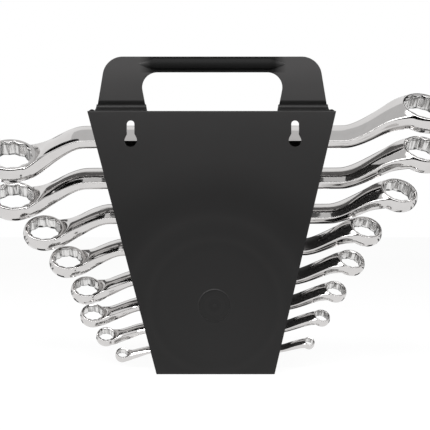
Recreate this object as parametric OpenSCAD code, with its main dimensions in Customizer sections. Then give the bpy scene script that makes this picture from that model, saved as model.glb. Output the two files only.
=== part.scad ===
// Set of eight double box end wrenches, standing on edge in the slots of a moulded carry rack.
// +X points right as seen from the back, +Z points up, and the back face, which hangs on a wall,
// lies in the plane Y = 0 with the open front towards +Y. The origin is halfway between the two
// places where the screws sit in the keyholes.

/* [Back panel] */
// Width of the back panel along its top edge
panel_top_w = 192; // [186:1:200]
// Width of the back panel along its bottom edge
panel_bottom_w = 91; // [84:1:96]
// Height of the back panel
panel_h = 203; // [198:1:214]
// How far the bottom edge's middle lies to the right of the top edge's middle
panel_shift = 3; // [0:0.5:4]
// Height of the top edge above the screws in the keyholes
hang_drop = 10.3; // [9.5:0.1:13]
// Wall thickness of the back panel
panel_t = 2.5; // [2:0.1:3.5]
// Width and depth of the chamfer along the top edge
top_chamfer = 1; // [0.5:0.1:1.4]

/* [Side walls] */
// Wall thickness of the two side walls
side_t = 3; // [2:0.1:4]
// Wall thickness of the bottom
bottom_t = 2.5; // [2:0.1:4]
// Depth of the side walls at the top
side_top_d = 54; // [51:1:62]
// Depth of the side walls at the bottom
side_bottom_d = 34; // [31:1:38]
// Radius of the corner between the side wall's front edge and its top
front_corner_r = 10; // [4:1:14]
// Depth of the flange along the top, from the back face
flange_d = 14; // [12:0.5:20]
// Wall thickness of the flange along the top
flange_t = 2.5; // [2:0.1:3]
// Radius of the bead that ends the flange at each side
end_bead_r = 3.1; // [2.6:0.1:4]
// How far the end beads stand above the top edge
end_bead_rise = 1.3; // [0.8:0.1:2.4]

/* [Slots] */
// Angle of the slots and the wrenches above the horizontal
slot_tilt = 41; // [36:1:45]
// Clearance around a shank in its slot
slot_clear = 0.3; // [0.2:0.05:0.5]
// Corner radius at the closed end of a slot
slot_corner_r = 0.6; // [0.3:0.1:0.8]
// Radius of the retaining nib at a slot's lower side
nib_r = 1.4; // [1:0.1:2]
// How far the nib stands into the slot
nib_rise = 0.6; // [0.3:0.1:0.9]
// Length of the flared mouth of a slot
mouth_l = 5; // [3:0.5:6]
// How far the mouth opens at each side
mouth_flare = 2.2; // [1:0.1:3]

/* [Keyholes] */
// Distance between the two keyholes
key_pitch = 127; // [110:1:134]
// Width of the narrow part, for the screw's shank
key_slot_w = 6.1; // [5:0.1:7]
// Diameter of the round part, for the screw's head
key_hole_d = 10; // [9:0.1:12]
// Drop of the round part's centre below the screw's seat
key_drop = 12.4; // [11.5:0.1:14]
// Width of the shoulders where the slot opens into the round part
key_shoulder_w = 8.4; // [7.5:0.1:8.8]
// Height of the rim around the round part, inside the panel
key_rim_h = 1.2; // [0.8:0.1:2]
// Width of the rim around the round part
key_rim_w = 2; // [1.2:0.1:3]

/* [Gate mark] */
// Diameter of the shallow disc left by the moulding gate
gate_d = 24; // [18:1:30]
// Depth of the gate's disc
gate_depth = 0.4; // [0.2:0.1:0.6]
// Diameter of the gate's nub
gate_nub_d = 2.4; // [1.5:0.1:4]
// Height of the gate's centre above the bottom edge
gate_up = 52.8; // [40:0.2:70]

/* [Handle] */
// Distance of the handle's middle from the middle between the keyholes
handle_x = -0.5; // [-1.5:0.1:1.5]
// Half the width of the handle where it leaves the panel
handle_root_half = 90; // [88:0.1:91.5]
// Half the width of the handle at its top, before rounding
handle_top_half = 82.9; // [80:0.1:88]
// Height of the handle's top above the panel's top edge
handle_rise = 42.9; // [42:0.1:50]
// Radius of the handle's outer corners
handle_outer_r = 15.6; // [12:0.2:20]
// Height of the grip, from the opening to the top
grip_h = 11.5; // [10.5:0.1:13]
// Half the width of the hand opening at the panel's top edge
opening_root_half = 51.2; // [46:0.1:55]
// Half the width of the hand opening at its top, before rounding
opening_top_half = 57.4; // [54:0.1:60]
// Radius of the hand opening's upper corners
opening_r = 11.7; // [8:0.1:15]
// Thickness of the handle's plate
handle_t = 5; // [4:0.1:6]
// How far the handle's plate is set in from the back face
handle_set = 6; // [5.5:0.1:7]
// Radius of the cove at the foot of each handle leg
cove_r = 4.7; // [3.5:0.1:5]
// Height of the lip under the cove
cove_lip = 1; // [0.6:0.1:1.6]
// How far the cove stands out beyond the leg's sides
cove_rim = 0.8; // [0.3:0.1:1.4]
// Radius of the roll along the grip
roll_r = 4.2; // [3.5:0.1:4.6]
// How far the roll stands out of the handle's plate
roll_rise = 3.4; // [2:0.1:3.6]
// Half the length of the roll, with its tapered ends
roll_half = 57; // [50:0.5:60]
// Length of a tapered end of the roll
roll_taper = 12; // [8:0.5:16]

/* [Wrenches] */
// Depth of the largest wrench's shank in front of the back face
shank_top_y = 36; // [36:0.5:37]
// Depth of the smallest wrench's shank in front of the back face
shank_bottom_y = 24; // [22:0.5:25]
// Drop of the largest wrench's shank below the origin
shank_top_drop = 6.4; // [5:0.1:9]
// Height of the smallest wrench's shank above the panel's bottom edge
shank_bottom_up = 15.8; // [14:0.1:20]
// Angle between a box's plane and the shank
box_tilt = 7.5; // [5:0.5:10]
// Height that every box has before its size is counted
box_h_base = 3; // [2:0.1:3.5]
// Further height of a box for each millimetre across its flats
box_h_ratio = 0.36; // [0.3:0.01:0.4]
// Wall of a box at its belly, for each millimetre across its flats
box_wall_ratio = 0.225; // [0.18:0.005:0.24]
// How far a box's face is drawn in from its belly, for each millimetre across its flats
box_crown_ratio = 0.065; // [0.04:0.005:0.08]
// Width of the lead-in chamfer of a box
box_chamfer = 0.5; // [0.3:0.05:0.6]
// Length that every bend has, from the box's centre, before its offset is counted
bend_base = 9; // [6:0.5:14]
// Further length of a bend for each millimetre of its box's offset
bend_ratio = 2.2; // [1.8:0.1:2.6]
// Number of straight facets around a shank's section
shank_sides = 16; // [12:4:24]
// Number of stations along each bend of a shank
bend_steps = 12; // [8:1:16]

/* [Hidden] */
$fn = 64;
inch = 25.4;
// Across flats of the left and the right box of each wrench, in inches
box_sizes = [
    [1 + 1/4, 1 + 1/8], [1 + 1/16, 1], [15/16, 7/8], [13/16, 3/4],
    [11/16, 5/8], [9/16, 1/2], [7/16, 3/8], [5/16, 1/4]
];
// Distance between the centres of each wrench's two boxes
box_pitches = [335.2, 329.8, 284.9, 238.9, 211.7, 194, 172.1, 148.9];
// How far each wrench's left and right box are set off from the line of its shank
box_offsets = [
    [24.6, 23.1], [24.3, 24], [20.8, 19.4], [16.7, 16.9],
    [15.1, 16.2], [14.7, 13.2], [11.2, 11.1], [7.6, 6.8]
];
// Width and thickness of each shank
shank_widths = [22, 19.9, 18, 15, 13.3, 11.7, 9.3, 6.2];
shank_thicks = [9.8, 8.9, 8.3, 7, 6.3, 5.6, 4.6, 3];
// Drops from each shank to the next one below it, in proportion to one another
shank_pitches = [33.8, 28.8, 26.7, 24.3, 20.7, 19.3, 16.9];
// How far each wrench has been slid to the right in its slots
slides = [-0.8, 0.4, 3.65, 0.75, 2.75, -0.5, -0.25, 1.65];
// The shank's section is a superellipse of this order: 2 is an ellipse, more is squarer
section_order = 3.2;
// Where a shank's stations begin inside a box and where its bend begins, in radii of the box
web_start = 0.5;
web_end = 0.55;
// Width of the web where it leaves a box, in radii of the box, and the run over which it narrows
web_w = 1.5;
web_run = 1;
// The web's thickness as a share of the box's height
web_t = 0.8;
// How far a box's hole is cut beyond its faces, because the web can stand above a tilted face
hole_over = 2.5;
// Number of straight facets around a rounded corner
corner_steps = 16;
over = 1;

panel_top_z = hang_drop;
panel_bottom_z = panel_top_z - panel_h;
panel_mid_x = -0.9;
handle_top_z = panel_top_z + handle_rise;
opening_top_z = handle_top_z - grip_h;
inner_top_z = panel_top_z - flange_t;

function sum_to(list, count) = count == 0 ? 0 : list[count - 1] + sum_to(list, count - 1);
function shank_share(i) = sum_to(shank_pitches, i) / sum_to(shank_pitches, len(shank_pitches));
function shank_z(i) = let (ladder_h = panel_h - hang_drop - shank_top_drop - shank_bottom_up)
    -shank_top_drop - ladder_h * shank_share(i);
function shank_y(i) = shank_top_y + (shank_bottom_y - shank_top_y) * shank_share(i);

// Edge of the back panel at a height, with side -1 for the left edge and 1 for the right one
function panel_x(z, side) = let (f = (panel_top_z - z) / panel_h)
    panel_mid_x + panel_shift * f
    + side * (panel_top_w + (panel_bottom_w - panel_top_w) * f) / 2;
function side_slope(side) = (panel_x(panel_bottom_z, side) - panel_x(panel_top_z, side)) / panel_h;
// Thickness of a side wall measured along X, because the wall stands at a slant
function side_tx(side) = side_t * sqrt(1 + pow(side_slope(side), 2));

// Depth of the side walls' front edge at a height
function front_y(z) = side_bottom_d
    + (side_top_d - side_bottom_d) * (z - panel_bottom_z) / panel_h;

// Extrudes a profile drawn in X and Z from one depth to another
module along_y(y0, y1) {
    translate([0, y1, 0]) rotate([90, 0, 0]) linear_extrude(y1 - y0) children();
}

// Extrudes a profile drawn in Y and Z from one side to the other
module along_x(x0, x1) {
    translate([x0, 0, 0]) rotate([90, 0, 90]) linear_extrude(x1 - x0) children();
}

// Convex polygon with rounded corners; points run counter-clockwise, a radius of 0 is a sharp corner
module rounded_polygon(points, radii) {
    n = len(points);
    into = [for (i = [0:n - 1]) let (v = points[i] - points[(i + n - 1) % n]) v / norm(v)];
    turn = [for (i = [0:n - 1]) acos(into[i] * into[(i + 1) % n])];
    polygon([for (i = [0:n - 1]) each radii[i] == 0 ? [points[i]] : let (
            start = points[i] - into[i] * radii[i] * tan(turn[i] / 2),
            centre = start + radii[i] * [-into[i].y, into[i].x],
            heading = atan2(-into[i].x, into[i].y)
        )
        [for (k = [0:corner_steps]) let (a = heading + turn[i] * k / corner_steps)
            centre + radii[i] * [cos(a), sin(a)]]
    ]);
}

// Outline of the back panel between two heights, drawn in from its sides by a number of wall thicknesses
module panel_outline(z0, z1, walls) {
    polygon([
        [panel_x(z0, -1) + walls * side_tx(-1), z0],
        [panel_x(z0, 1) - walls * side_tx(1), z0],
        [panel_x(z1, 1) - walls * side_tx(1), z1],
        [panel_x(z1, -1) + walls * side_tx(-1), z1]
    ]);
}

// Side view of the rack: straight back, front edge that slopes in towards the bottom
module side_profile() {
    rounded_polygon([
        [0, panel_bottom_z], [side_bottom_d, panel_bottom_z],
        [side_top_d, panel_top_z], [0, panel_top_z]
    ], [0, 3, front_corner_r, 0]);
}

// The tray: back panel, two slanted side walls, bottom, and a flange along the top
module tray() {
    intersection() {
        difference() {
            along_y(0, side_top_d) panel_outline(panel_bottom_z, panel_top_z, 0);
            along_y(panel_t, side_top_d + over)
                panel_outline(panel_bottom_z + bottom_t, panel_top_z + over, 1);
        }
        along_x(-panel_top_w, panel_top_w) side_profile();
    }
    along_y(panel_t / 2, flange_d) panel_outline(inner_top_z, panel_top_z, 0.5);
    for (side = [-1, 1]) {
        bead_z = panel_top_z + end_bead_rise - end_bead_r;
        bead_x = panel_x(bead_z, side) - side * end_bead_r;
        along_y(top_chamfer, flange_d - over)
            intersection() {
                translate([bead_x, bead_z]) circle(end_bead_r);
                translate([bead_x - end_bead_r, panel_top_z - flange_t / 2])
                    square(2 * end_bead_r);
            }
    }
}

// Distances from a box's centre between which its shank passes through the side wall. The wall
// stands at a slant, so it meets a slot's two ends at different distances
function wall_reach(i, end) = let (
        z = shank_z(i),
        wall_x = panel_x(z, end) - end * side_tx(end) / 2,
        middle = box_pitches[i] / 2 + end * (slides[i] - wall_x),
        slot_h = shank_widths[i] * sin(slot_tilt) + shank_thicks[i] * cos(slot_tilt),
        spread = (side_tx(end) + abs(side_slope(end)) * slot_h) / 2
    )
    [middle - spread, middle + spread];

// Lower and upper side of a slot, in the frame of the shank: a shank whose bend reaches the wall
// gets a slot that follows it
function slot_sides(i, end) = let (
        af = box_af(i, end),
        offset = box_offset(i, end),
        reach = wall_reach(i, end),
        levels = [for (u = reach) -end * bend_z(u, af, offset)],
        half_t = [for (u = reach) shank_t(i, end, u) / cos(bend_angle(u, af, offset)) / 2]
    )
    [min(levels - half_t) - slot_clear, max(levels + half_t) + slot_clear];

// Profile of one wrench slot, in the frame of its shank: X along the slot, Y across it
module slot_profile(i, end) {
    sides = slot_sides(i, end);
    bottom = sides[0];
    slot_w = sides[1] - sides[0];
    back = -shank_widths[i] / 2 - slot_clear;
    front = side_top_d;
    lip = (front_y(shank_z(i)) - shank_y(i)) / cos(slot_tilt) - mouth_l / 2;
    translate([0, bottom])
        difference() {
            union() {
                translate([back + slot_corner_r, 0]) square([front, slot_w]);
                translate([back, slot_corner_r]) square([front, slot_w - 2 * slot_corner_r]);
                for (corner_z = [slot_corner_r, slot_w - slot_corner_r]) {
                    translate([back + slot_corner_r, corner_z]) circle(slot_corner_r);
                }
                polygon([
                    [lip, 0], [lip + mouth_l, -mouth_flare], [front, -mouth_flare],
                    [front, slot_w + mouth_flare], [lip + mouth_l, slot_w + mouth_flare],
                    [lip, slot_w]
                ]);
            }
            translate([-back + nib_r, nib_rise - nib_r]) circle(nib_r);
        }
}

module slots() {
    for (i = [0:len(box_sizes) - 1], end = [-1, 1]) {
        translate([0, shank_y(i), shank_z(i)]) rotate([slot_tilt, 0, 0])
            along_x(end < 0 ? -panel_top_w : 0, end < 0 ? 0 : panel_top_w) slot_profile(i, end);
    }
}

// Outline of a keyhole with its screw seat at the origin
module keyhole() {
    shoulder_z = -key_drop + sqrt(pow(key_hole_d, 2) - pow(key_shoulder_w, 2)) / 2;
    circle(d = key_slot_w);
    translate([0, -key_drop]) circle(d = key_hole_d);
    polygon([
        [-key_slot_w / 2, 0], [-key_slot_w / 2, shoulder_z + (key_shoulder_w - key_slot_w)],
        [-key_shoulder_w / 2, shoulder_z], [key_shoulder_w / 2, shoulder_z],
        [key_slot_w / 2, shoulder_z + (key_shoulder_w - key_slot_w)], [key_slot_w / 2, 0]
    ]);
}

// Outline of the handle down to where it is fused to the flange
module handle_outline() {
    foot_z = panel_top_z - flange_t / 2;
    spread = (handle_root_half - handle_top_half) / handle_rise;
    foot_half = handle_root_half + spread * flange_t / 2;
    difference() {
        rounded_polygon([
            [-foot_half, foot_z], [foot_half, foot_z],
            [handle_top_half, handle_top_z], [-handle_top_half, handle_top_z]
        ], [0, 0, handle_outer_r, handle_outer_r]);
        rounded_polygon([
            [-opening_root_half, panel_top_z], [opening_root_half, panel_top_z],
            [opening_top_half, opening_top_z], [-opening_top_half, opening_top_z]
        ], [0, 0, opening_r, opening_r]);
    }
}

// The cove that leads each leg's set-back face out to the panel's top edge, a little wider
// than the leg at both sides
module cove() {
    cove_z = panel_top_z + cove_r + cove_lip;
    outer_slope = (handle_root_half - handle_top_half) / handle_rise;
    inner_slope = (opening_top_half - opening_root_half) / (opening_top_z - panel_top_z);
    difference() {
        along_y(handle_set - cove_r, handle_set + handle_t / 2)
            for (side = [-1, 1]) {
                polygon([
                    [side * (opening_root_half - cove_rim), panel_top_z - flange_t / 2],
                    [side * (handle_root_half + cove_rim), panel_top_z - flange_t / 2],
                    [side * (handle_root_half + cove_rim - outer_slope * (cove_z - panel_top_z)), cove_z],
                    [side * (opening_root_half - cove_rim + inner_slope * (cove_z - panel_top_z)), cove_z]
                ]);
            }
        along_x(-panel_top_w, panel_top_w)
            translate([handle_set - cove_r, cove_z + over / 4]) circle(cove_r);
    }
}

module grip_roll() {
    straight = roll_half - roll_taper;
    translate([0, handle_set + roll_r - roll_rise, (handle_top_z + opening_top_z) / 2])
        rotate([0, 90, 0]) {
            cylinder(r = roll_r, h = 2 * straight, center = true);
            for (end = [0, 180]) {
                rotate([end, 0, 0]) translate([0, 0, straight])
                    cylinder(r1 = roll_r, r2 = roll_r - roll_rise, h = roll_taper);
            }
        }
}

module handle() {
    translate([handle_x, 0, 0]) {
        along_y(handle_set, handle_set + handle_t) handle_outline();
        cove();
        grip_roll();
    }
}

// The one-piece moulded rack
module holder() {
    gate_z = panel_bottom_z + gate_up;
    gate_x = (panel_x(gate_z, -1) + panel_x(gate_z, 1)) / 2;
    color("#2e2d2d")
    difference() {
        union() {
            tray();
            handle();
            for (side = [-1, 1]) {
                translate([side * key_pitch / 2, 0, -key_drop])
                    along_y(panel_t / 2, panel_t + key_rim_h)
                        circle(d = key_hole_d + 2 * key_rim_w);
            }
        }
        slots();
        for (side = [-1, 1]) {
            translate([side * key_pitch / 2, 0, 0])
                along_y(-over, panel_t + key_rim_h + over) keyhole();
        }
        translate([gate_x, 0, gate_z]) along_y(-over, gate_depth)
            difference() {
                circle(d = gate_d);
                circle(d = gate_nub_d);
            }
        along_x(-panel_top_w, panel_top_w)
            polygon([
                [-over, panel_top_z - top_chamfer - over],
                [top_chamfer + over, panel_top_z + over],
                [-over, panel_top_z + over]
            ]);
    }
}

// Size across flats and offset of a wrench's box, with end -1 on the left and 1 on the right
function box_af(i, end) = box_sizes[i][end < 0 ? 0 : 1] * inch;
function box_offset(i, end) = box_offsets[i][end < 0 ? 0 : 1];

// Sizes of a box, worked out from its size across flats
function belly_r(af) = af * (0.5 + box_wall_ratio);
function box_h(af) = box_h_base + af * box_h_ratio;
function bend_l(offset) = bend_base + bend_ratio * offset;

function blend(a, b, s) = let (t = max(0, min(1, s))) a + (b - a) * t * t * (3 - 2 * t);

// Height of a left bend's middle line at a distance from the box's centre: level at first,
// then on a cubic that ends level on the line of the shank
function bend_z(u, af, offset) = let (u0 = web_end * belly_r(af))
    blend(-offset, 0, (u - u0) / (bend_l(offset) - u0));
function bend_angle(u, af, offset) = let (e = 0.01)
    atan((bend_z(u + e, af, offset) - bend_z(u - e, af, offset)) / (2 * e));

// Thickness of a shank at a distance from the box's centre: it grows towards the box
function shank_t(i, end, u) = let (af = box_af(i, end), u0 = web_end * belly_r(af))
    blend(web_t * box_h(af), shank_thicks[i], (u - u0) / (bend_l(box_offset(i, end)) - u0));

// One station of a shank: [x, z, slope, width, thickness], with end -1 on the left and 1 on the right
function station(i, end, u) = let (
        af = box_af(i, end),
        offset = box_offset(i, end),
        r = belly_r(af),
        z = bend_z(u, af, offset),
        w = blend(web_w * r, shank_widths[i], (u - web_end * r) / (web_run * r))
    )
    [end * (box_pitches[i] / 2 - u), -end * z, bend_angle(u, af, offset), w, shank_t(i, end, u)];

// Distances of the stations from the box's centre
function station_steps(af, offset) = let (r = belly_r(af), reach = bend_l(offset))
    [web_start * r, for (k = [0:bend_steps]) web_end * r + (reach - web_end * r) * k / bend_steps];

function stations(i) = let (
        left = station_steps(box_af(i, -1), box_offset(i, -1)),
        right = station_steps(box_af(i, 1), box_offset(i, 1)),
        last = len(right) - 1
    )
    [for (u = left) station(i, -1, u), for (k = [last:-1:0]) station(i, 1, right[k])];

function power(v, p) = sign(v) * pow(abs(v), p);
function ring_points(s) = [for (k = [0:shank_sides - 1]) let (
        a = 360 * (k + 0.5) / shank_sides,
        across = s[3] / 2 * power(cos(a), 2 / section_order),
        up = s[4] / 2 * power(sin(a), 2 / section_order)
    )
    [s[0] - up * sin(s[2]), across, s[1] + up * cos(s[2])]];

// The swept shank with its two bends, from inside one box to inside the other
module shank(i) {
    rings = stations(i);
    n = shank_sides;
    last = len(rings) - 1;
    polyhedron(
        [for (s = rings) each ring_points(s)],
        [
            [for (k = [0:n - 1]) k],
            for (m = [0:last - 1], k = [0:n - 1]) each [
                [m * n + k, (m + 1) * n + k, (m + 1) * n + (k + 1) % n],
                [m * n + k, (m + 1) * n + (k + 1) % n, m * n + (k + 1) % n]
            ],
            [for (k = [n - 1:-1:0]) last * n + k]
        ]
    );
}

// Places its children at a wrench's box: centred on it, with Z along its bore
module at_box(i, end) {
    translate([end * box_pitches[i] / 2, 0, end * box_offset(i, end)])
        rotate([0, box_tilt, 0]) children();
}

// Outer form of a box: a ring with a crowned wall and flat faces
module box_barrel(af) {
    r = belly_r(af);
    h = box_h(af);
    crown = box_crown_ratio * af;
    arc_r = (pow(h / 2, 2) + pow(crown, 2)) / (2 * crown);
    rotate_extrude()
        intersection() {
            translate([0, -h / 2]) square([r, h]);
            translate([r - arc_r, 0]) circle(arc_r);
        }
}

// Twelve-point hole with a lead-in chamfer at both faces
module box_hole(af) {
    corner_r = af / sqrt(3);
    chamfer_r = corner_r + box_chamfer;
    chamfer_h = chamfer_r - af / 2;
    h = box_h(af);
    linear_extrude(h + 2 * hole_over, center = true)
        for (turn = [0, 30]) {
            rotate(turn) circle(corner_r, $fn = 6);
        }
    for (side = [0, 180]) {
        rotate([side, 0, 0]) translate([0, 0, h / 2 - chamfer_h])
            cylinder(r1 = af / 2, r2 = chamfer_r + hole_over, h = chamfer_h + hole_over);
    }
}

// One wrench in its slots
module box_wrench(i) {
    color("#d4d6d8")
    translate([slides[i], shank_y(i), shank_z(i)]) rotate([slot_tilt, 0, 0])
        difference() {
            union() {
                shank(i);
                for (end = [-1, 1]) {
                    at_box(i, end) box_barrel(box_af(i, end));
                }
            }
            for (end = [-1, 1]) {
                at_box(i, end) box_hole(box_af(i, end));
            }
        }
}

holder();
box_wrench(0);  // wrench_1_1_4_by_1_1_8
box_wrench(1);  // wrench_1_1_16_by_1
box_wrench(2);  // wrench_15_16_by_7_8
box_wrench(3);  // wrench_13_16_by_3_4
box_wrench(4);  // wrench_11_16_by_5_8
box_wrench(5);  // wrench_9_16_by_1_2
box_wrench(6);  // wrench_7_16_by_3_8
box_wrench(7);  // wrench_5_16_by_1_4
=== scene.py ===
# %% [markdown]
# # A rack of eight double box end wrenches, seen from behind
#
# The imported CAD model gives every shape and size. This script gives the model its looks: the
# forged and plated wrenches are rebuilt as smooth subdivision surfaces, the moulded rack keeps
# its CAD mesh and gets soft edges and a plastic, and a small studio lights them both.
#
# The first step loads the CAD model. It is a fixed frame: its nodes are never moved or edited.
# Its box is kept.

# %% Load the imported model
import math

import bmesh
import bpy
from mathutils import Matrix, Vector


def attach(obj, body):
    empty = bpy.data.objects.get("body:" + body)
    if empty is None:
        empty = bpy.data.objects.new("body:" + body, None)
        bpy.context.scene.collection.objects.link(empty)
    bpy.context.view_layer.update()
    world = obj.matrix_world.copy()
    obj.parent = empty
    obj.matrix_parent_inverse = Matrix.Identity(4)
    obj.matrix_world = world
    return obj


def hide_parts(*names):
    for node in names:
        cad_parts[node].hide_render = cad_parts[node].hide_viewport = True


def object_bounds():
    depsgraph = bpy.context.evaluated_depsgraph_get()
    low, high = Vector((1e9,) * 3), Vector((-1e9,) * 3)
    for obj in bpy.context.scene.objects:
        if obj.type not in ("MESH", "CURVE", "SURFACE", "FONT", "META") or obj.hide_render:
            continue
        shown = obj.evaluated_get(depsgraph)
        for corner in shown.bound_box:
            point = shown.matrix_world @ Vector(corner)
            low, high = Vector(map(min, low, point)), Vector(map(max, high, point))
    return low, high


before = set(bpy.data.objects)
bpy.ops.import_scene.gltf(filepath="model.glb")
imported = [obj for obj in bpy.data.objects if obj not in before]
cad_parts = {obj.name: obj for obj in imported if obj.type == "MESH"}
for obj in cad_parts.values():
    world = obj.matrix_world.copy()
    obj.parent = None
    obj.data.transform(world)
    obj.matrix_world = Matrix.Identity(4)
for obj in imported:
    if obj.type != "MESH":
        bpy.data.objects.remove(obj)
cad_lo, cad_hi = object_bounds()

print("CAD nodes:", len(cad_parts), "box", [round(v, 4) for v in cad_hi - cad_lo])

# %% [markdown]
# ## The camera
#
# The photograph was taken from behind the rack, level, at a distance of about 65 cm. The
# camera stands where lines drawn through the panel's corners and the boxes' centres meet.
# A real lens could be given by its field of view. Here the focal length is worked out from
# the picture's width, because the fit gave it in pixels.

# %% Camera
MM = 0.001
PICTURE_PX = 430
FOCAL_PX = 842.5
SENSOR_MM = 36
CAMERA_AT = Vector((1.66, -649, -70)) * MM

camera = bpy.data.objects.new("camera", bpy.data.cameras.new("camera"))
camera.data.sensor_width = SENSOR_MM
camera.data.lens = SENSOR_MM * FOCAL_PX / PICTURE_PX
camera.location = CAMERA_AT
camera.rotation_euler = (math.radians(90), 0, 0)
bpy.context.collection.objects.link(camera)
bpy.context.scene.camera = camera
bpy.context.scene.view_settings.view_transform = "Standard"
print("lens", round(camera.data.lens, 1), "mm")

# %% [markdown]
# ## The wrenches' sizes
#
# Each wrench has two boxes of neighbouring inch sizes, one at each end, set off to opposite
# sides of the shank. The numbers are the CAD source's own, in millimetres, so that the smooth
# wrenches lie exactly where the solids are. A script can't read that source, so it repeats them.

# %% Sizes of the eight wrenches
INCH = 25.4
SLOT_TILT = math.radians(41)
BOX_TILT = math.radians(7.5)
BOX_SIZES = [
    (1 + 1 / 4, 1 + 1 / 8), (1 + 1 / 16, 1), (15 / 16, 7 / 8), (13 / 16, 3 / 4),
    (11 / 16, 5 / 8), (9 / 16, 1 / 2), (7 / 16, 3 / 8), (5 / 16, 1 / 4),
]
BOX_PITCHES = [335.2, 329.8, 284.9, 238.9, 211.7, 194, 172.1, 148.9]
BOX_OFFSETS = [
    (24.6, 23.1), (24.3, 24), (20.8, 19.4), (16.7, 16.9),
    (15.1, 16.2), (14.7, 13.2), (11.2, 11.1), (7.6, 6.8),
]
SHANK_WIDTHS = [22, 19.9, 18, 15, 13.3, 11.7, 9.3, 6.2]
SHANK_THICKS = [9.8, 8.9, 8.3, 7, 6.3, 5.6, 4.6, 3]
SHANK_DROPS = [33.8, 28.8, 26.7, 24.3, 20.7, 19.3, 16.9]
SLIDES = [-0.8, 0.4, 3.65, 0.75, 2.75, -0.5, -0.25, 1.65]
SHANK_TOP_Y, SHANK_BOTTOM_Y, SHANK_TOP_DROP = 36, 24, 6.4
NODES = [
    "wrench_1_1_4_by_1_1_8", "wrench_1_1_16_by_1", "wrench_15_16_by_7_8",
    "wrench_13_16_by_3_4", "wrench_11_16_by_5_8", "wrench_9_16_by_1_2",
    "wrench_7_16_by_3_8", "wrench_5_16_by_1_4",
]
LEFT, RIGHT = -1, 1


def of_end(pair, end):
    """The left or the right one of a wrench's two values."""
    return pair[0] if end == LEFT else pair[1]


def across_flats(i, end):
    """The width of a box's nut in millimetres."""
    return of_end(BOX_SIZES[i], end) * INCH


def shank_place(i):
    """Where the middle of a shank lies: its slide along the slots, its depth and its height."""
    drop = sum(SHANK_DROPS[:i])
    share = drop / sum(SHANK_DROPS)
    depth = SHANK_TOP_Y + (SHANK_BOTTOM_Y - SHANK_TOP_Y) * share
    return Vector((SLIDES[i], depth, -SHANK_TOP_DROP - drop))


print("shank heights", [round(shank_place(i).z, 1) for i in range(len(NODES))])

# %% [markdown]
# ## A box end as a cage
#
# A box end is forged, then broached: a cutter with twelve points is pushed through it, and a
# cone has been cut at both faces first, so each flat ends in a scallop. It could be lathed and
# cut with a boolean, which leaves long thin faces that chrome shows as dents. A cage for a
# subdivision surface keeps all faces square and even: loops of points around the bore, one
# loop for each place where the profile turns. Edges that a real box has sharp get a crease.
#
# The points of one loop are 7.5 degrees apart, so that every point and every ridge of the
# twelve-point hole falls on one of them. Lengths are in millimetres, and shares are shares of
# the nut's width across flats. Levels run from 1 at the box's top face to -1 at its bottom.

# %% Numbers of a box end
AROUND = 48
HOLE_POINTS = 12
RIDGE_STEP = AROUND // (2 * HOLE_POINTS)
BOX_HEIGHT, BOX_HEIGHT_SHARE = 3, 0.36
BELLY, CROWN = 0.725, 0.065  # the wall's radius, and what it loses towards both faces
CHAMFER, CHAMFER_SHARE = 0.5, 0.032  # the cone's mouth is wider than the hole's points
CONE_SLOPE = 0.32
RIM_SHARE = 0.22  # how much of the rim rolls over into the wall
FLASH_LEVELS = (-0.12, -0.4)
FLASH_FEET = (-0.04, -0.48)
FLASH_SHARE = 0.004  # how far the flash band stands proud
SIDE_LEVELS = (FLASH_FEET[0], *FLASH_LEVELS, FLASH_FEET[1])
WALL_LEVELS = [0.86, 0.4, *SIDE_LEVELS, -0.7, -0.86]
print("a loop turns by", 360 / AROUND, "degrees from point to point")

# %% [markdown]
# The profile starts at the hole's upper edge, crosses the cone and the flat rim, and comes
# down the wall. The wall is crowned like a barrel, and one thin band stands proud of it: the
# line where the two forging dies met, left after the flash was ground off.

# %% Profile of a box end


def box_height(af):
    return BOX_HEIGHT + BOX_HEIGHT_SHARE * af


def star_radius(af, a):
    """Radius of the twelve-point hole in a direction."""
    step = 2 * math.pi / HOLE_POINTS
    off_point = abs((a + step / 2) % step - step / 2)
    return af / 2 / math.cos(step - off_point)


def proud(level, height):
    """How far a narrow side stands out at a level: only the flash band does."""
    return height if level in FLASH_LEVELS else 0


def wall_radius(af, level):
    """Radius of a box's crowned wall, where only the flash band reaches the full size."""
    flash = FLASH_SHARE * af
    return af * (BELLY - CROWN * level**2) - flash + proud(level, flash)


def box_loops(af, a):
    """A profile's (radius, height) points, from the hole's top edge round to its bottom edge."""
    half = box_height(af) / 2
    mouth = af / math.sqrt(3) + min(CHAMFER, CHAMFER_SHARE * af)
    rim = af * (BELLY - CROWN)
    star = star_radius(af, a)
    face = rim - RIM_SHARE * (rim - mouth)
    top = [(star, half - CONE_SLOPE * (mouth - star)), (mouth, half), (face, half)]
    wall = [(wall_radius(af, level), half * level) for level in WALL_LEVELS]
    return top + wall + [(r, -z) for r, z in reversed(top)]


LOOPS = len(box_loops(INCH, 0))
print("a box has", AROUND * LOOPS, "cage points")

# %% [markdown]
# ## The shank as a cage
#
# The shank is a flat bar with soft corners. It leaves the box level, swings over to its own
# line on a smooth S, and does the same at the other end. Its cross-sections are placed along
# that line, as ribs in a boat, and joined. The broad faces are crowned, so each of them works
# as a long convex mirror and squeezes what lies above it into narrow bands. Towards the boxes
# the crown fades out, because a forged neck is flat there.
#
# The flash band of the boxes runs on along both narrow sides, as a fine double line. A sample
# section tells which of its points lie on that band: those that stand out past the bar.

# %% Cross-section of a shank
PATCH = 7
CORNER_SHARE = 0.09
SHANK_FLASH_SHARE = 0.011
FLAT_CROWN, NECK_CROWN = 0.33, 0.1


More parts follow.
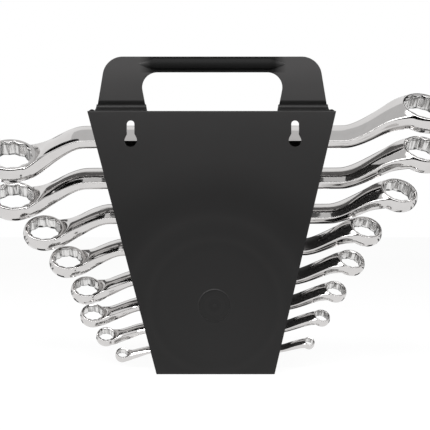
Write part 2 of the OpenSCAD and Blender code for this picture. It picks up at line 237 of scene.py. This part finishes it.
def section(half_w, half_t, crown):
    """Points around a cross-section: along its upper flat, down one side, back, and up."""
    corner = 2 * CORNER_SHARE * half_t
    out = [(half_w - 2 * corner) * k / (PATCH - 1) for k in range(1, PATCH)] + [half_w - corner]
    across = [-x for x in reversed(out)] + [0] + out
    upper = [(x, half_t * (1 - crown * (x / half_w) ** 2)) for x in across]
    flash = SHANK_FLASH_SHARE * half_w
    side = [(half_w, half_t - corner)]
    side += [(half_w + proud(level, flash), half_t * level) for level in SIDE_LEVELS]
    side += [(half_w, corner - half_t)]
    lower = [(x, -z) for x, z in reversed(upper)]
    return upper + side + lower + [(-x, z) for x, z in reversed(side)]


SAMPLE_W, SAMPLE_T = 10, 4
SAMPLE = section(SAMPLE_W, SAMPLE_T, FLAT_CROWN)
FLASH_POINTS = [k for k, (x, z) in enumerate(SAMPLE) if abs(x) > SAMPLE_W]
print("of", len(SAMPLE), "points around a cross-section", len(FLASH_POINTS), "are on the flash")

# %% [markdown]
# Along the bend the section changes: it is as wide and thick as the box's wall where it
# starts, and thins down to the plain bar. Each change is blended softly over its own stretch.
# The bend ends 2 mm further out than the CAD solid's, so that the S has no visible kink.

# %% Cross-sections along a bend
THINNING_START, THINNING_LENGTH = 0.2, 0.7
WEB_WIDTH, WEB_THICKNESS = 1.65, 0.95
BEND_START, BEND_BASE, BEND_RATIO = 0.53, 11, 2.2
NECK_END = 1.9


def blend(a, b, s):
    """Goes softly from a to b while s goes from 0 to 1."""
    t = max(0, min(1, s))
    return a + (b - a) * t * t * (3 - 2 * t)


def bend_stop(i, end):
    """How far from a box's centre the shank has reached its own line."""
    return BEND_BASE + BEND_RATIO * of_end(BOX_OFFSETS[i], end)


def rib_sizes(i, end, u):
    """Level and slope of the shank's middle line, its half width, half thickness and crown."""
    af = across_flats(i, end)
    offset = of_end(BOX_OFFSETS[i], end)
    belly = BELLY * af
    start, stop = BEND_START * belly, bend_stop(i, end)
    share = (u - start) / (stop - start)
    t = max(0, min(1, share))
    slope = math.atan(offset * 6 * t * (1 - t) / (stop - start))
    half_w = blend(WEB_WIDTH * belly, SHANK_WIDTHS[i], (u - start) / belly) / 2
    thinning = (share - THINNING_START) / THINNING_LENGTH
    half_t = blend(WEB_THICKNESS * box_height(af), SHANK_THICKS[i], thinning) / 2
    crown = blend(NECK_CROWN, FLAT_CROWN, (u / belly - 1) / (NECK_END - 1))
    return blend(-offset, 0, share), slope, half_w, half_t, crown


def rib(i, end, u):
    """A cross-section at a distance from a box's centre, in the wrench's own frame."""
    level, slope, half_w, half_t, crown = rib_sizes(i, end, u)
    x, z = end * (BOX_PITCHES[i] / 2 - u), -end * level
    return [
        Vector((x - up * math.sin(slope), across, z + up * math.cos(slope)))
        for across, up in section(half_w, half_t, crown)
    ]


print("the largest bend ends", round(bend_stop(0, LEFT), 1), "mm from its box's centre")

# %% [markdown]
# ## Grow the shank out of the box
#
# A forged box has no seam where the shank begins. So a patch is left open in the cage of its
# wall, and the first ribs fan out from the patch's own edge: each point starts exactly on
# the wall and glides over to its place on the straight ribs. A boolean union would leave a
# hard line there.

# %% Ribs that fan out from a box
FAN = 4
FAN_END = 1.5
RIB_STEP = 0.22
FEWEST_RIBS = 4


def fan_ribs(i, end, patch):
    """Ribs between a box's open patch and the first straight rib."""
    far = FAN_END * BELLY * across_flats(i, end)
    ribs = []
    for m in range(1, FAN + 1):
        s = m / FAN
        points = []
        for k, start in enumerate(patch):
            near = BOX_PITCHES[i] / 2 - end * start.x
            gap = start - rib(i, end, near)[k]
            points.append(rib(i, end, near + (far - near) * s)[k] + gap * (1 - s) ** 2)
        ribs.append(points)
    return ribs


def straight_ribs(i, end):
    """Ribs along the rest of the bend."""
    belly = BELLY * across_flats(i, end)
    first, stop = FAN_END * belly, bend_stop(i, end)
    count = max(FEWEST_RIBS, math.ceil((stop - first) / (RIB_STEP * belly)))
    return [rib(i, end, first + (stop - first) * k / count) for k in range(1, count + 1)]


print("the largest bend has", FAN + len(straight_ribs(0, LEFT)), "ribs")

# %% [markdown]
# ## Put a box into the mesh
#
# The points of the cage become vertices and the loops are joined with four-sided faces. The
# patch where the shank will start is left open. Faces inside the twelve-point hole get a
# material number of their own, because they are broached and not polished. A crease of 1
# keeps an edge as sharp as it is drawn, and a lower one leaves it a little round.

# %% Mesh of one box end
POLISHED, BROACHED = 0, 1
HOLE_CREASE, MOUTH_CREASE, RIM_CREASE, FLASH_CREASE = 1.0, 0.9, 0.6, 0.7
EDGE_CREASES = (
    (0, HOLE_CREASE), (1, MOUTH_CREASE), (2, RIM_CREASE),
    (LOOPS - 3, RIM_CREASE), (LOOPS - 2, MOUTH_CREASE), (LOOPS - 1, HOLE_CREASE),
)
FIRST_WALL = 3
LAST_WALL = FIRST_WALL + len(WALL_LEVELS) - 1
FIRST_FLASH, LAST_FLASH = [FIRST_WALL + WALL_LEVELS.index(level) for level in FLASH_LEVELS]


def in_patch(k, j):
    """Whether a face of the cage lies where the shank starts."""
    return FIRST_WALL <= j < LAST_WALL and (k < PATCH or k >= AROUND - PATCH)


def box_grid(bm, i, end):
    """The vertices of one box, as loops[point around][place on the profile]."""
    centre = Vector((end * BOX_PITCHES[i] / 2, 0, end * of_end(BOX_OFFSETS[i], end)))
    tilt = Matrix.Rotation(BOX_TILT, 3, "Y")
    grid = []
    for k in range(AROUND):
        a = 2 * math.pi * k / AROUND
        grid.append([
            bm.verts.new(centre + tilt @ Vector((-end * r * math.cos(a), r * math.sin(a), z)))
            for r, z in box_loops(across_flats(i, end), a)
        ])
    return grid


def add_box(bm, crease, i, end):
    """Adds a box with an open patch towards its shank, and returns the patch's edge points."""
    grid = box_grid(bm, i, end)
    for k in range(AROUND):
        here, there = grid[k], grid[(k + 1) % AROUND]
        for j in range(LOOPS):
            if not in_patch(k, j):
                n = (j + 1) % LOOPS
                face = bm.faces.new((here[j], there[j], there[n], here[n]))
                face.material_index = BROACHED if n == 0 else POLISHED
        for j, sharp in EDGE_CREASES:
            bm.edges.get((here[j], there[j]))[crease] = sharp
        for j in (FIRST_FLASH, LAST_FLASH):
            if not in_patch(k, j):
                bm.edges.get((here[j], there[j]))[crease] = FLASH_CREASE
        if k % RIDGE_STEP == 0:
            bm.edges.get((here[0], here[-1]))[crease] = HOLE_CREASE
    ks = list(range(-PATCH, PATCH + 1))
    edge = [grid[k][FIRST_WALL] for k in ks]
    edge += [grid[PATCH][j] for j in range(FIRST_WALL + 1, LAST_WALL)]
    edge += [grid[k][LAST_WALL] for k in reversed(ks)]
    edge += [grid[-PATCH][j] for j in reversed(range(FIRST_WALL + 1, LAST_WALL))]
    return edge


print("a patch has", 4 * PATCH + 2 + 2 * (LAST_WALL - FIRST_WALL - 1), "edge points")

# %% [markdown]
# ## Join the cages
#
# The two boxes and the shank become one mesh, as the real wrench is one forging. The ribs are
# joined from the left box's patch over the middle to the right box's, and the mesh is turned
# to the slots' angle and moved to its place in the rack. Each smooth wrench then stands for
# its CAD node, which stays in the model for collisions, hidden.

# %% Build the wrenches
SUBDIVISIONS = 2


def join_rings(bm, crease, rings):
    """Joins the ribs with faces, and creases the lines of the flash band."""
    count = len(rings[0])
    for here, there in zip(rings, rings[1:]):
        for k in range(count):
            n = (k + 1) % count
            bm.faces.new((here[k], here[n], there[n], there[k]))
    for here, there in zip(rings, rings[1:]):
        for k in FLASH_POINTS:
            bm.edges.get((here[k], there[k]))[crease] = FLASH_CREASE


def wrench_mesh(i):
    """One wrench at its place in the rack, in metres."""
    bm = bmesh.new()
    crease = bm.edges.layers.float.new("crease_edge")
    halves = []
    for end in (LEFT, RIGHT):
        patch = add_box(bm, crease, i, end)
        ribs = fan_ribs(i, end, [v.co.copy() for v in patch]) + straight_ribs(i, end)
        halves.append([patch] + [[bm.verts.new(p) for p in points] for points in ribs])
    ends = [rib(i, end, BOX_PITCHES[i] / 2) for end in (LEFT, RIGHT)]
    middle = [bm.verts.new((p + q) / 2) for p, q in zip(*ends)]
    join_rings(bm, crease, halves[0] + [middle] + halves[1][::-1])
    bmesh.ops.recalc_face_normals(bm, faces=bm.faces)
    turn = Matrix.Translation(shank_place(i)) @ Matrix.Rotation(SLOT_TILT, 4, "X")
    bmesh.ops.transform(bm, matrix=Matrix.Scale(MM, 4) @ turn, verts=bm.verts)
    mesh = bpy.data.meshes.new(NODES[i] + "_smooth")
    bm.to_mesh(mesh)
    bm.free()
    mesh.shade_smooth()
    return mesh


def build_wrench(i):
    piece = bpy.data.objects.new(NODES[i] + "_smooth", wrench_mesh(i))
    bpy.context.collection.objects.link(piece)
    rounding = piece.modifiers.new("subdivision", "SUBSURF")
    rounding.levels = rounding.render_levels = SUBDIVISIONS
    rounding.use_limit_surface = True
    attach(piece, "root")
    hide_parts(NODES[i])
    return piece


wrenches = [build_wrench(i) for i in range(len(NODES))]
print("wrench cages:", [len(w.data.polygons) for w in wrenches])

# %% [markdown]
# ## Materials
#
# Colours are written as a designer reads them from a chart, in sRGB hex, and the shader wants
# linear light, so one function turns the one into the other. A second small function adds a
# node with its settings and links.

# %% Helpers for materials


def colour(text):
    """sRGB hex to linear RGBA."""
    parts = [int(text[k:k + 2], 16) / 255 for k in (1, 3, 5)]
    return [p / 12.92 if p <= 0.04045 else ((p + 0.055) / 1.055) ** 2.4 for p in parts] + [1]


def add_node(tree, kind, sets=(), links=()):
    """Adds a node. sets are (name, value) of a socket or a property, links (socket, output)."""
    node = tree.nodes.new(kind)
    for name, value in sets:
        if isinstance(name, str) and hasattr(node, name):
            setattr(node, name, value)
        else:
            node.inputs[name].default_value = value
    for name, output in links:
        tree.links.new(output, node.inputs[name])
    return node


def new_material(name):
    material = bpy.data.materials.new(name)
    material.use_nodes = True
    return material, material.node_tree, material.node_tree.nodes["Principled BSDF"]


print("white is", colour("#ffffff"))

# %% [markdown]
# ## Bright nickel-chrome plate
#
# The wrenches are forged from chrome vanadium steel, ground, polished and plated with nickel
# and a thin layer of chromium. That gives the eye a mirror with a faint warm grey cast. It
# could be one plain mirror material, but a real one isn't optically flat: the polishing wheel
# leaves shallow waves some 7 mm long, and fine lines along the shank. Both are noise in a
# bump, and the lines also make the mirror a little duller here and there. Real lines are
# about 0.1 mm apart, too fine to show, so they are drawn at 0.9 mm. A metal keeps the default
# IOR.

# %% Polished chrome
WAVE_MM = 7
POLISH_LINE_MM = 0.9
POLISH_STRETCH = (0.04, 1, 1)

chrome, tree, shader = new_material("chromium_plated_polished")
place = add_node(tree, "ShaderNodeTexCoord")
waves = add_node(tree, "ShaderNodeTexNoise", [("Scale", 1 / (WAVE_MM * MM)), ("Detail", 1.0)],
                 [("Vector", place.outputs["Object"])])
stretch = add_node(tree, "ShaderNodeMapping", [("Scale", POLISH_STRETCH)],
                   [("Vector", place.outputs["Object"])])
lines = add_node(tree, "ShaderNodeTexNoise",
                 [("Scale", 1 / (POLISH_LINE_MM * MM)), ("Detail", 3.0)],
                 [("Vector", stretch.outputs["Vector"])])
shine = add_node(tree, "ShaderNodeMapRange",
                 [("To Min", 0.04), ("To Max", 0.11)], [("Value", lines.outputs["Fac"])])
cast = add_node(tree, "ShaderNodeMix",
                [("data_type", "RGBA"), (6, colour("#cbc9c8")), (7, colour("#d4d2d1"))],
                [("Factor", waves.outputs["Fac"])])
wave_bump = add_node(tree, "ShaderNodeBump", [("Strength", 0.03), ("Distance", 0.3 * MM)],
                     [("Height", waves.outputs["Fac"])])
line_bump = add_node(tree, "ShaderNodeBump", [("Strength", 0.02), ("Distance", 0.05 * MM)],
                     [("Height", lines.outputs["Fac"]), ("Normal", wave_bump.outputs["Normal"])])
shader.inputs["Metallic"].default_value = 1.0
tree.links.new(cast.outputs[2], shader.inputs["Base Color"])
tree.links.new(shine.outputs["Result"], shader.inputs["Roughness"])
tree.links.new(line_bump.outputs["Normal"], shader.inputs["Normal"])
print(chrome.name, "has", len(tree.nodes), "nodes")

# %% [markdown]
# ## Broached holes
#
# Inside the boxes no wheel can polish. The broach leaves score lines along the hole, and the
# plate follows them: to the eye the flats are streaked light and dark grey, and duller. The
# same noise gives both, stretched along the hole. Real score lines are about 0.2 mm apart.
# They are drawn at 1.6 mm, so that they show.

# %% Broached chrome
BROACH_LINE_MM = 1.6
BROACH_STRETCH = 14

bore, tree, shader = new_material("chromium_plated_broached")
place = add_node(tree, "ShaderNodeTexCoord")
along = add_node(tree, "ShaderNodeMapping",
                 [("vector_type", "TEXTURE"), ("Rotation", (SLOT_TILT, 0, 0)),
                  ("Scale", (1, 1, BROACH_STRETCH))],
                 [("Vector", place.outputs["Object"])])
scores = add_node(tree, "ShaderNodeTexNoise",
                  [("Scale", 1 / (BROACH_LINE_MM * MM)), ("Detail", 3.0)],
                  [("Vector", along.outputs["Vector"])])
contrast = add_node(tree, "ShaderNodeMapRange", [("From Min", 0.34), ("From Max", 0.56)],
                    [("Value", scores.outputs["Fac"])])
dull = add_node(tree, "ShaderNodeMapRange",
                [("To Min", 0.12), ("To Max", 0.3)], [("Value", scores.outputs["Fac"])])
streaks = add_node(tree, "ShaderNodeMix",
                   [("data_type", "RGBA"), (6, colour("#858483")), (7, colour("#e6e5e4"))],
                   [("Factor", contrast.outputs["Result"])])
shader.inputs["Metallic"].default_value = 1.0
tree.links.new(streaks.outputs[2], shader.inputs["Base Color"])
tree.links.new(dull.outputs["Result"], shader.inputs["Roughness"])

for wrench in wrenches:
    wrench.data.materials.append(chrome)
    wrench.data.materials.append(bore)
print("chrome on", len(wrenches), "wrenches")

# %% [markdown]
# ## Moulded polypropylene
#
# The rack is one injection moulding in charcoal polypropylene, from a mould with a satin,
# spark-eroded face. The eye gets a soft, slightly uneven sheen and a very fine grain. Real
# grain is 0.1 to 0.2 mm. It is drawn at 0.45 mm, so that it shows at all.
#
# What changes over the rack depends on how far a point is from the gate, where the plastic
# entered the mould, or on how high above the keyholes it lies. A picture could be painted for
# it. A profile, a curve through a few distances in millimetres, needs no picture and fits on
# a few lines. So the first step makes the distances.

# %% Distances on the rack
GRAIN_MM = 0.45
CLOUD_MM = 60
GATE_AT = Vector((1.32, 0, -139.9)) * MM

plastic, tree, shader = new_material("polypropylene_moulded_satin")
place = add_node(tree, "ShaderNodeTexCoord")
parts = add_node(tree, "ShaderNodeSeparateXYZ", (), [("Vector", place.outputs["Object"])])
aside = add_node(tree, "ShaderNodeMath", [("operation", "ABSOLUTE")], [(0, parts.outputs["X"])])
from_gate = add_node(tree, "ShaderNodeVectorMath", [("operation", "SUBTRACT"), (1, GATE_AT)],
                     [(0, place.outputs["Object"])])
in_plane = add_node(tree, "ShaderNodeVectorMath", [("operation", "MULTIPLY"), (1, (1, 0, 1))],
                    [(0, from_gate.outputs["Vector"])])
radius = add_node(tree, "ShaderNodeVectorMath", [("operation", "LENGTH")],
                  [(0, in_plane.outputs["Vector"])])
grain = add_node(tree, "ShaderNodeTexNoise", [("Scale", 1 / (GRAIN_MM * MM)), ("Detail", 2.0)],
                 [("Vector", place.outputs["Object"])])
cloud = add_node(tree, "ShaderNodeTexNoise", [("Scale", 1 / (CLOUD_MM * MM)), ("Detail", 2.0)],
                 [("Vector", place.outputs["Object"])])


def profile_along(tree, stops, distance):
    """A curve through (millimetres, height) points, with heights from 0 to 1."""
    stops = [(value * MM, height) for value, height in stops]
    first, last = stops[0][0], stops[-1][0]
    share = add_node(tree, "ShaderNodeMapRange", [("From Min", first), ("From Max", last)],
                     [("Value", distance)])
    curve = add_node(tree, "ShaderNodeValToRGB", (), [("Fac", share.outputs["Result"])])
    points = curve.color_ramp.elements
    for value, height in stops[1:-1]:
        point = points.new((value - first) / (last - first))
        point.color = (height, height, height, 1)
    points[0].color = (stops[0][1],) * 3 + (1,)
    points[len(points) - 1].color = (stops[-1][1],) * 3 + (1,)
    return curve.outputs["Color"]


print("the gate is", round((cad_hi.z - GATE_AT.z) / MM), "mm below the handle's top")

# %% [markdown]
# ## Tone of the plastic, with painted light and shade
#
# The handle is painted lighter than the panel, and the panel is painted darker towards its foot:
# painted light and shade, as from the soft box above. Two black hairlines along the cove at the
# handle's root are painted shadow in grooves finer than the mesh is, and the cove between them is
# painted darker at its top, as painted shade. The bar of the grip is painted near black, as
# painted shade of its roll. Around the gate the flow left faint rings, and the lighter ring on
# the gate disc's lip is a painted highlight. The painted light and shade by height and the rings
# are multiplied into the charcoal, and the painted grip shade is mixed over it.

# %% Colour of the plastic, with painted light and shade
# Painted light and shade by height: the panel darker towards its foot and the handle lighter, as
# from the soft box above; near-black hairlines as painted shadow in two fine grooves, and the
# cove between them painted darker at its top.
PAINTED_LIGHT_AND_SHADE_BY_HEIGHT = [
    (-200, 0.27), (-120, 0.285), (-64, 0.3), (-10, 0.39), (10.3, 0.46), (11.6, 0.45),
    (11.8, 0.015), (12.8, 0.015), (13.0, 0.25), (14.6, 0.25), (16.6, 0.12), (17.3, 0.015),
    (18.8, 0.015), (19.1, 0.68), (32, 0.76), (46, 1), (52, 1),
]
# Faint flow rings around the gate, and a lighter ring from 11.9 to 12.8 mm that is a painted
# highlight on the gate disc's lip.
FLOW_RINGS_AND_LIP_HIGHLIGHT = [
    (0, 1), (1.2, 1), (1.8, 0.7), (5.0, 0.76), (5.8, 0.98), (6.4, 0.7), (7.4, 0.94),
    (8, 0.76), (11.2, 0.8), (11.9, 1), (12.8, 1), (13.3, 0.84), (40, 0.8), (47, 0.74),
    (51, 0.86), (56, 0.74), (62, 0.76), (68, 0.86), (75, 0.68), (86, 0.62), (96, 0.7),
    (112, 0.85), (130, 0.85),
]
GRIP_ACROSS, GRIP_UP = [(48, 1), (57, 0)], [(40.5, 0), (41, 1)]

charcoal = add_node(tree, "ShaderNodeMix",
                    [("data_type", "RGBA"), (6, colour("#474646")), (7, colour("#504f4f"))],
                    [("Factor", cloud.outputs["Fac"])])
grip = add_node(tree, "ShaderNodeMath", [("operation", "MULTIPLY")],
                [(0, profile_along(tree, GRIP_ACROSS, aside.outputs[0])),
                 (1, profile_along(tree, GRIP_UP, parts.outputs["Z"]))])
# The grip bar is mixed to near black: painted shade standing in for the shade of its roll.
painted_grip_shade = add_node(tree, "ShaderNodeMix", [("data_type", "RGBA"), (7, colour("#050505"))],
                [("Factor", grip.outputs[0]), (6, charcoal.outputs[2])])
# Multiplies in the painted light and shade by height.
painted_light_and_shade = add_node(tree, "ShaderNodeMix",
                     [("data_type", "RGBA"), ("blend_type", "MULTIPLY"), ("Factor", 1.0)],
                     [(6, painted_grip_shade.outputs[2]),
                      (7, profile_along(tree, PAINTED_LIGHT_AND_SHADE_BY_HEIGHT, parts.outputs["Z"]))])
# Multiplies in the flow rings and the painted lip highlight.
flow_rings_and_lip_highlight = add_node(tree, "ShaderNodeMix",
                   [("data_type", "RGBA"), ("blend_type", "MULTIPLY"), ("Factor", 1.0)],
                   [(6, painted_light_and_shade.outputs[2]),
                    (7, profile_along(tree, FLOW_RINGS_AND_LIP_HIGHLIGHT, radius.outputs["Value"]))])
tree.links.new(flow_rings_and_lip_highlight.outputs[2], shader.inputs["Base Color"])
print("tone profiles have", len(PAINTED_LIGHT_AND_SHADE_BY_HEIGHT), "and", len(FLOW_RINGS_AND_LIP_HIGHLIGHT), "stops")

# %% [markdown]
# ## Relief and sheen of the plastic
#
# The grain, the small lip around the gate's disc and the hollow between the two hairlines are
# too fine for the mesh, so they are a bump on top of the moulding's own shape. The roughness
# follows the grain, and is higher on the scuffed grip. Polypropylene has an IOR of 1.49, and
# its specular level is lowered, because a satin face scatters most of what it reflects.

# %% Relief and sheen of the plastic
GATE_LIP = [(12.3, 1), (12.9, 0)]
COVE = [
    (12.2, 1), (13.0, 0.45), (13.8, 0.12), (14.6, 0), (15.6, 0.12), (16.6, 0.45), (17.5, 1),
]
GRAIN_RELIEF, LIP_RELIEF, COVE_RELIEF = 0.1 * MM, 0.5 * MM, 1.0 * MM
SCUFF = 0.3

sheen = add_node(tree, "ShaderNodeMapRange",
                 [("To Min", 0.42), ("To Max", 0.52)], [("Value", grain.outputs["Fac"])])
scuffed = add_node(tree, "ShaderNodeMath", [("operation", "MULTIPLY_ADD"), (1, SCUFF)],
                   [(0, grip.outputs[0]), (2, sheen.outputs["Result"])])
skin = add_node(tree, "ShaderNodeBump", [("Strength", 0.15), ("Distance", GRAIN_RELIEF)],
                [("Height", grain.outputs["Fac"])])
lip_bump = add_node(tree, "ShaderNodeBump", [("Strength", 1.0), ("Distance", LIP_RELIEF)],
                    [("Height", profile_along(tree, GATE_LIP, radius.outputs["Value"])),
                     ("Normal", skin.outputs["Normal"])])
cove_bump = add_node(tree, "ShaderNodeBump", [("Strength", 1.0), ("Distance", COVE_RELIEF)],
                     [("Height", profile_along(tree, COVE, parts.outputs["Z"])),
                      ("Normal", lip_bump.outputs["Normal"])])
shader.inputs["IOR"].default_value = 1.49
shader.inputs["Specular IOR Level"].default_value = 0.3
tree.links.new(scuffed.outputs[0], shader.inputs["Roughness"])
tree.links.new(cove_bump.outputs["Normal"], shader.inputs["Normal"])

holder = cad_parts["holder"]
holder.data.materials.clear()
holder.data.materials.append(plastic)
print("plastic on", holder.name)

# %% [markdown]
# ## Soft edges on the moulding
#
# No edge of a moulding is sharp: the mould's own corners are rounded. A bevel modifier adds
# that to the CAD mesh without changing it. The mesh comes in triangles, so flat areas are
# first joined into single faces.

# %% Round the rack's edges
EDGE_RADIUS = 0.35 * MM
WELD_DISTANCE = 0.002 * MM
FLAT_WITHIN = math.radians(0.5)
EDGE_FROM = math.radians(35)

weld = holder.modifiers.new("weld", "WELD")
weld.merge_threshold = WELD_DISTANCE
flats = holder.modifiers.new("flats", "DECIMATE")
flats.decimate_type = "DISSOLVE"
flats.angle_limit = FLAT_WITHIN
soft = holder.modifiers.new("edges", "BEVEL")
soft.width = EDGE_RADIUS
soft.segments = 2
soft.limit_method = "ANGLE"
soft.angle_limit = EDGE_FROM
soft.harden_normals = False
shade = holder.modifiers.new("shade", "WEIGHTED_NORMAL")
shade.keep_sharp = True
print("rack modifiers:", [m.name for m in holder.modifiers])

# %% [markdown]
# ## The floor and the world
#
# The rack stands on a pale paper floor in front of a white world. A photographer would light
# the paper on its own until it is white. Here the floor and the world look white only to the
# camera and in reflections, which a Light Path node tells apart. All other light from them
# stays low, so the object isn't washed out and the floor keeps a soft shadow.

# %% Floor
FLOOR_REACH = 4
PAPER_GLOW, GLOW_SHARE = 1.1, 0.85

floor_z = cad_lo.z
corners = [(-1, -1), (1, -1), (1, 1), (-1, 1)]
floor_mesh = bpy.data.meshes.new("floor")
floor_mesh.from_pydata(
    [(x * FLOOR_REACH, y * FLOOR_REACH, floor_z) for x, y in corners], [], [(0, 1, 2, 3)])
floor = bpy.data.objects.new("floor", floor_mesh)
bpy.context.collection.objects.link(floor)


def looked_at(tree):
    """1 for a ray that comes from the camera, a mirror or a glass, 0 for any other."""
    rays = add_node(tree, "ShaderNodeLightPath")
    seen = add_node(tree, "ShaderNodeMath", [("operation", "MAXIMUM")],
                    [(0, rays.outputs["Is Camera Ray"]), (1, rays.outputs["Is Glossy Ray"])])
    seen = add_node(tree, "ShaderNodeMath", [("operation", "MAXIMUM")],
                    [(0, seen.outputs[0]), (1, rays.outputs["Is Transmission Ray"])])
    return seen.outputs[0]


paper, tree, shader = new_material("floor_white_paper")
shader.inputs["Base Color"].default_value = colour("#e6e6e6")
shader.inputs["Roughness"].default_value = 0.9
part = add_node(tree, "ShaderNodeMath", [("operation", "MULTIPLY"), (1, GLOW_SHARE)],
                [(0, looked_at(tree))])
glow = add_node(tree, "ShaderNodeEmission",
                [("Color", colour("#ffffff")), ("Strength", PAPER_GLOW)])
both = add_node(tree, "ShaderNodeMixShader", (),
                [(0, part.outputs[0]), (1, shader.outputs[0]), (2, glow.outputs[0])])
tree.links.new(both.outputs[0], tree.nodes["Material Output"].inputs["Surface"])
floor.data.materials.append(paper)
print("floor at", round(floor_z, 4), "m")

# %% World
AMBIENT, BACKDROP = 0.18, 1.0

world = bpy.data.worlds.new("studio")
bpy.context.scene.world = world
world.use_nodes = True
tree = world.node_tree
ambient, backdrop = [
    add_node(tree, "ShaderNodeBackground", [("Color", colour("#ffffff")), ("Strength", strength)])
    for strength in (AMBIENT, BACKDROP)
]
both = add_node(tree, "ShaderNodeMixShader", (),
                [(0, looked_at(tree)), (1, ambient.outputs[0]), (2, backdrop.outputs[0])])
tree.links.new(both.outputs[0], tree.nodes["World Output"].inputs["Surface"])
print("the world is white at", BACKDROP, "and lights at", AMBIENT)

# %% [markdown]
# ## One soft light
#
# A wide, shallow soft box hangs high on the camera's side. It lights the plastic evenly and
# draws the white line along the wrenches' upper edges.

# %% Key light
MIDDLE = (0, 0.02, -0.07)
KEY_AT = (-0.1, -0.6, 0.78)
KEY_SIZE = (1.8, 0.42)
KEY_WATTS = 15


def aim(thing, at, target):
    """Puts a light or a card in its place and turns its face to a target."""
    thing.location = at
    thing.rotation_euler = (Vector(target) - Vector(at)).to_track_quat("-Z", "Y").to_euler()


lamp = bpy.data.lights.new("key", "AREA")
lamp.shape = "RECTANGLE"
lamp.size, lamp.size_y = KEY_SIZE
lamp.energy = KEY_WATTS
key = bpy.data.objects.new("key", lamp)
bpy.context.collection.objects.link(key)
aim(key, KEY_AT, MIDDLE)
print("the key is", round((key.location - Vector(MIDDLE)).length, 2), "m away")

# %% [markdown]
# ## Cards for the chrome
#
# Polished metal shows only what surrounds it, so a studio for it has grey and black cards as
# well as lights. Rays traced back from the photograph's reflections gave their places. Only
# mirrors see these cards: they give no light and no shadow.
#
# - The light grey ceiling fills the wrenches' narrow sides and the crowned flats.
# - The dark cards left and right of it give the black crescents on the bends. The left one
#   hangs low, so that each wrench meets it at another place.
# - The dark front and the dark floor before the rack give the thin dark lines on the rims.
# - The grey back and the grey floor behind the rack give the mid greys that are seen after
#   two reflections, and the stripes on the floor break them into streaks.

# %% Cards
CARD_LIFT, STRIPE_LIFT = 0.003, 0.002


def card(name, at, target, size, tone, turn=0):
    """A flat card that only mirrors see, turned about its own middle by some degrees."""
    w, h = size[0] / 2, size[1] / 2
    mesh = bpy.data.meshes.new(name)
    mesh.from_pydata([(x * w, y * h, 0) for x, y in corners], [], [(0, 1, 2, 3)])
    thing = bpy.data.objects.new(name, mesh)
    bpy.context.collection.objects.link(thing)
    aim(thing, at, target)
    thing.rotation_euler.rotate_axis("Z", math.radians(turn))
    material, tree, shader = new_material(name)
    flat = add_node(tree, "ShaderNodeEmission", [("Color", colour(tone)), ("Strength", 1.0)])
    tree.links.new(flat.outputs[0], tree.nodes["Material Output"].inputs["Surface"])
    mesh.materials.append(material)
    thing.visible_camera = thing.visible_diffuse = thing.visible_shadow = False
    thing.visible_transmission = False


def floor_card(name, x, y, lift, size, tone):
    """A card that lies on the floor, lifted a little so that it doesn't flicker."""
    card(name, (x, y, floor_z + lift), (x, y, 1), size, tone)


card("dark_front", (0, -1.2, -0.02), MIDDLE, (2.4, 0.95), "#0c0c0c")
card("grey_ceiling", (0.135, -0.058, 1.2), (0.135, -0.058, 0), (2.3, 1.0), "#d8d8d8", -18)
card("dark_left", (-0.47, 0, 0.34), (-0.47, 0, 0), (0.42, 0.2), "#080808", -32)
card("dark_right", (1.2, -0.1, 1.2), MIDDLE, (1.5, 1.3), "#080808")
card("grey_back", (0, 1.7, 0.25), MIDDLE, (2.4, 1.1), "#787878")
floor_card("grey_floor", 0, 0.95, CARD_LIFT, (2.4, 1.2), "#7c7c7c")
floor_card("dark_floor", 0, -0.85, CARD_LIFT, (2.4, 0.9), "#0c0c0c")
print("seven cards are up")

# %% Stripes on the floor
STRIPES, STRIPE_STEP = 7, 0.17
STRIPE_SIZE, STRIPE_Y = (0.05, 0.75), 0.45

for k in range(STRIPES):
    x = (k - STRIPES // 2) * STRIPE_STEP
    floor_card(f"floor_stripe_{k + 1}", x, STRIPE_Y, STRIPE_LIFT, STRIPE_SIZE, "#3c3c3c")
print(STRIPES, "stripes lie", STRIPE_STEP, "m apart")
